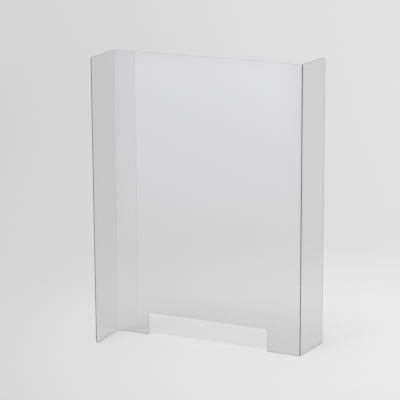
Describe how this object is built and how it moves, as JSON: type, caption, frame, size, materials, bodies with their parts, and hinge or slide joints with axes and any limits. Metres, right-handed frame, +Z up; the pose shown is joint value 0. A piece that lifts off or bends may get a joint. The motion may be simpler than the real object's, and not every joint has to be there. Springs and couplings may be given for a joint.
{
  "type": "desk privacy panel",
  "caption": "Free-standing clear plastic desk screen creased into a Z, with a forward wing, a backward wing and a document slot in the lower edge of the front panel.",
  "frame": {"origin": "middle of the footprint's bounding rectangle, at desk-top level", "axes": "+X to the right along the front panel, +Y through the front panel away from the person in front, +Z up the sheet"},
  "size_m": [0.6396, 0.2894, 0.9],
  "materials": {
    "clear_sheet": "clear, glossy, cut edges satin"
  },
  "bodies": {
    "front": {"front_panel": "clear_sheet", "left_fold": "clear_sheet", "right_fold": "clear_sheet"},
    "left_side": {"left_wing": "clear_sheet"},
    "right_side": {"right_wing": "clear_sheet"}
  },
  "joints": [
    {"name": "left_crease", "type": "hinge", "parent": "front", "child": "left_side", "pos_m": [-0.31559, -0.00039, 0], "axis": [0, 0, 1], "range_deg": [-89, 71], "stiffness_Nm_per_rad": 10, "deforming": ["left_fold"]},
    {"name": "right_crease", "type": "hinge", "parent": "front", "child": "right_side", "pos_m": [0.3031, 0.00099, 0], "axis": [0, 0, 1], "range_deg": [-84, 76], "stiffness_Nm_per_rad": 10, "deforming": ["right_fold"]}
  ]
}
